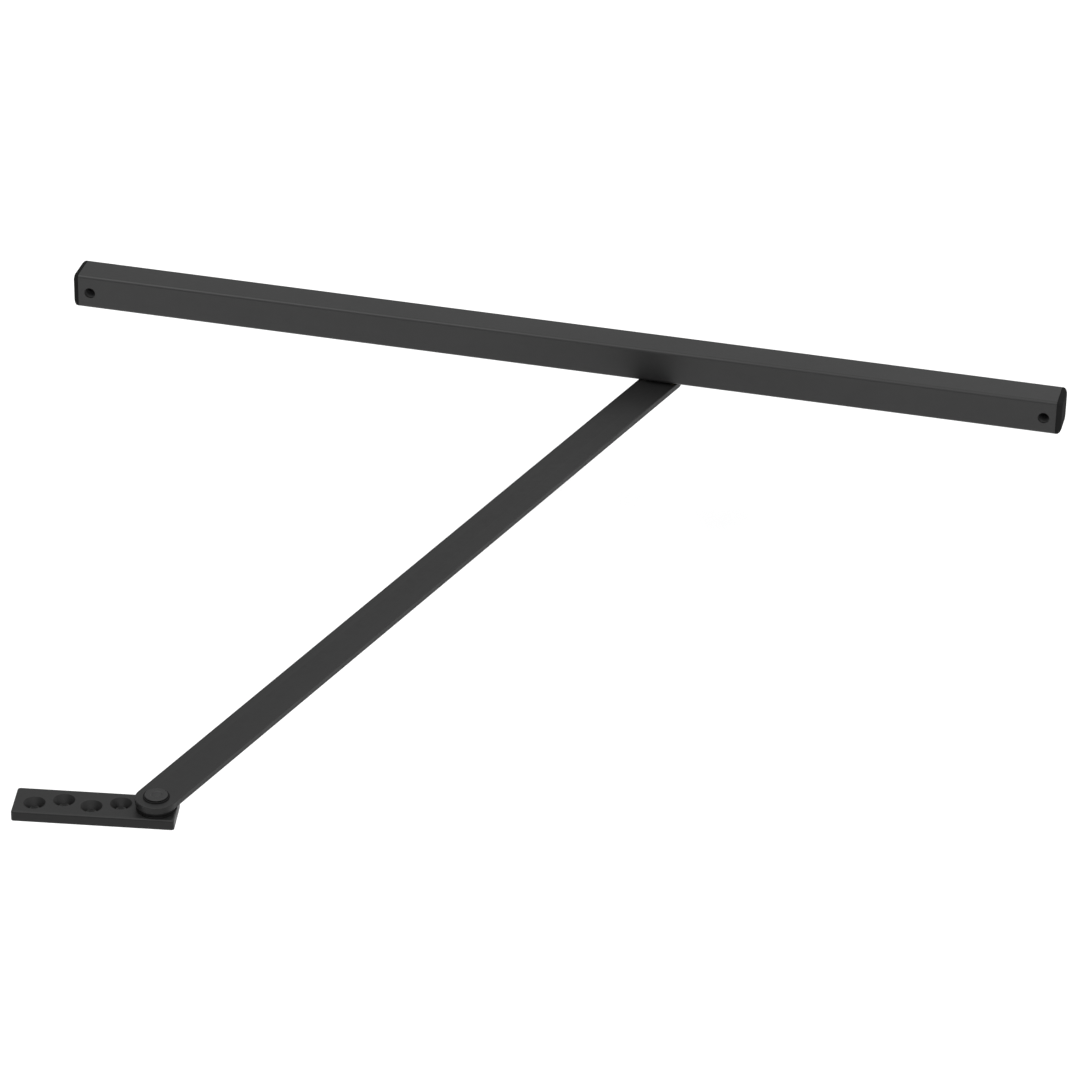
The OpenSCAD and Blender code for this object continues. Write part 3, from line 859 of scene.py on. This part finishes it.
def pivot_rivet():
    """Low button head with a shallow ring left by the riveting tool, plain shank and flush tail."""
    low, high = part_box("pivot_rivet")
    top, under = high.z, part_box("head_washer")[1].z
    head_r, bevel = (high.x - low.x) / 2, 0.25 * MM
    ring_z, middle_z = top - 0.2 * MM, top - 0.05 * MM
    points = rivet_profile() + [
        (RIVET_R, under), (head_r - 0.5 * MM, under), (head_r, top - bevel), (head_r - bevel, top),
        (3.3 * MM, top), (2.9 * MM, ring_z), (2.3 * MM, ring_z), (1.7 * MM, middle_z), (0, middle_z)]
    radii = [edge * MM for edge in (0, 0.2, 0, 0, 0.1, 0.1, 0.15, 0.4, 0.15, 0.15, 0.3, 0)]
    return put(turned(points, radii), (JAMB_PIVOT.x, JAMB_PIVOT.y, 0))


def pivot_spring_washer():
    """Conical washer, highest at the rivet."""
    low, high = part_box("pivot_spring_washer")
    r, thick = (high.x - low.x) / 2, 0.5 * MM
    points = [(RIVET_R, high.z - thick), (r, low.z), (r, low.z + thick), (RIVET_R, high.z)]
    return put(turned(points, 0.12 * MM), (JAMB_PIVOT.x, JAMB_PIVOT.y, 0))


piece("channel", channel())
piece("end_cap_left", end_cap("end_cap_left", -1))
piece("end_cap_right", end_cap("end_cap_right", 1))
piece("end_block_left", end_block("end_block_left", -1))
piece("end_block_right", end_block("end_block_right", 1))
piece("set_screws", set_screws())
piece("closing_bumper", pad("closing_bumper", -1))
piece("spring_seat", spring_seat())
piece("seat_pin", pin_along_y("seat_pin", 0.4 * MM))
piece("buffer_rod", buffer_rod())
piece("buffer_nut", buffer_nut())
piece("buffer_head", buffer_head())
piece("buffer_pad", pad("buffer_pad", 1))
piece("slide_block", slide_block())
piece("slide_shoe_front", slide_shoe("slide_shoe_front"))
piece("slide_shoe_rear", slide_shoe("slide_shoe_rear"))
piece("slide_stud", slide_stud())
piece("stud_pin", pin_along_y("stud_pin", 0.3 * MM))
piece("slot_sleeve", pivot_ring("slot_sleeve", SLIDE_PIVOT, STUD_R, 0.3 * MM))
piece("stud_clip", stud_clip())
# painted shade: the arm's upright walls take the darker coat
paint_shade_on_faces(piece("arm", arm()), stands)
piece("arm_bush_slide", pivot_ring("arm_bush_slide", SLIDE_PIVOT, STUD_R + RUN, 0.3 * MM))
piece("arm_bush_jamb", pivot_ring("arm_bush_jamb", JAMB_PIVOT, RIVET_R + RUN, 0.3 * MM))
piece("thrust_washer", pivot_ring("thrust_washer", SLIDE_PIVOT, STUD_R + RUN, 0.25 * MM))
piece("stud_washer", pivot_ring("stud_washer", SLIDE_PIVOT, STUD_R + RUN, 0.15 * MM))
# painted shade: the bracket's upright walls and countersinks take the darker coat
paint_shade_on_faces(piece("jamb_bracket", jamb_bracket()), lambda face: stands(face) or in_countersink(face))
piece("pivot_rivet", pivot_rivet())
# The black head washer darkens the ring under the rivet's head as painted shade.
piece("head_washer", pivot_ring("head_washer", JAMB_PIVOT, RIVET_R))
piece("pivot_washer_upper", pivot_ring("pivot_washer_upper", JAMB_PIVOT, RIVET_R))
piece("pivot_spring_washer", pivot_spring_washer())
piece("pivot_washer_lower", pivot_ring("pivot_washer_lower", JAMB_PIVOT, RIVET_R))

spring = piece("shock_spring", shock_spring(), 60)
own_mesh(spring)


# ---- stage, light and camera ----

def floor():
    """A plain, very pale floor, a hand's breadth below the part."""
    half, thick = 8, 0.02
    top = cad_box[0].z - FLOOR_GAP
    rings = [[(x * half, y * half, z) for x, y in ((-1, -1), (1, -1), (1, 1), (-1, 1))]
             for z in (top - thick, top)]
    obj = as_object("floor", skin_rings(rings))
    s = Shader("pale_floor")
    s.set(base_color=grey(0.96), roughness=0.9, specular_ior_level=0.2)
    obj.data.materials.append(s.material)


def soft_light(name, place, aim, size, watts):
    """A rectangular lamp that faces a point."""
    data = bpy.data.lights.new(name, "AREA")
    data.shape = "RECTANGLE"
    data.size, data.size_y = size
    data.energy = watts
    obj = bpy.data.objects.new(name, data)
    bpy.context.scene.collection.objects.link(obj)
    obj.location = place
    obj.rotation_mode = "QUATERNION"
    obj.rotation_quaternion = (Vector(aim) - Vector(place)).to_track_quat("-Z", "Y")


def camera():
    """The photograph's camera."""
    data = bpy.data.cameras.new("camera")
    data.lens, data.sensor_width = LENS, SENSOR
    data.clip_start, data.clip_end = 0.1, 100
    obj = bpy.data.objects.new("camera", data)
    bpy.context.scene.collection.objects.link(obj)
    a, e = math.radians(AZIMUTH), math.radians(ELEVATION)
    back = Vector((math.sin(a) * math.cos(e), -math.cos(a) * math.cos(e), math.sin(e)))
    facing = back.to_track_quat("Z", "Y").to_matrix().to_4x4()
    roll = Matrix.Rotation(math.radians(ROLL), 4, "Z")
    obj.matrix_world = Matrix.Translation(AIM + back * DISTANCE) @ facing @ roll
    bpy.context.scene.camera = obj


def surroundings(ramps):
    """A white studio whose light is the product of ramps, each along one direction between two cosines."""
    world = bpy.data.worlds.new("studio")
    world.use_nodes = True
    nodes, links = world.node_tree.nodes, world.node_tree.links
    place = nodes.new("ShaderNodeTexCoord")
    strength = None
    for towards, low, high, dark, bright in ramps:
        along = nodes.new("ShaderNodeVectorMath")
        along.operation = "DOT_PRODUCT"
        along.inputs[1].default_value = Vector(towards).normalized()
        links.new(place.outputs["Generated"], along.inputs[0])
        rise = nodes.new("ShaderNodeMapRange")
        for name, value in (("From Min", low), ("From Max", high), ("To Min", dark), ("To Max", bright)):
            rise.inputs[name].default_value = value
        links.new(along.outputs["Value"], rise.inputs["Value"])
        if strength is None:
            strength = rise.outputs["Result"]
            continue
        product = nodes.new("ShaderNodeMath")
        product.operation = "MULTIPLY"
        links.new(strength, product.inputs[0])
        links.new(rise.outputs["Result"], product.inputs[1])
        strength = product.outputs["Value"]
    links.new(strength, nodes["Background"].inputs["Strength"])
    nodes["Background"].inputs["Color"].default_value = grey(1)
    bpy.context.scene.world = world
    bpy.context.scene.view_settings.view_transform = "Standard"


floor()
surroundings((DARK_HORIZON, BRIGHT_ABOVE_FRONT, DARK_LEFT))
soft_light("overhead_left", (-0.7, -0.5, 1.4), (-0.2, 0, 0), (1.0, 0.7), 6)
soft_light("back_right", (1.2, 1.2, 0.8), (0.25, 0, 0), (1.2, 0.8), 2)
camera()
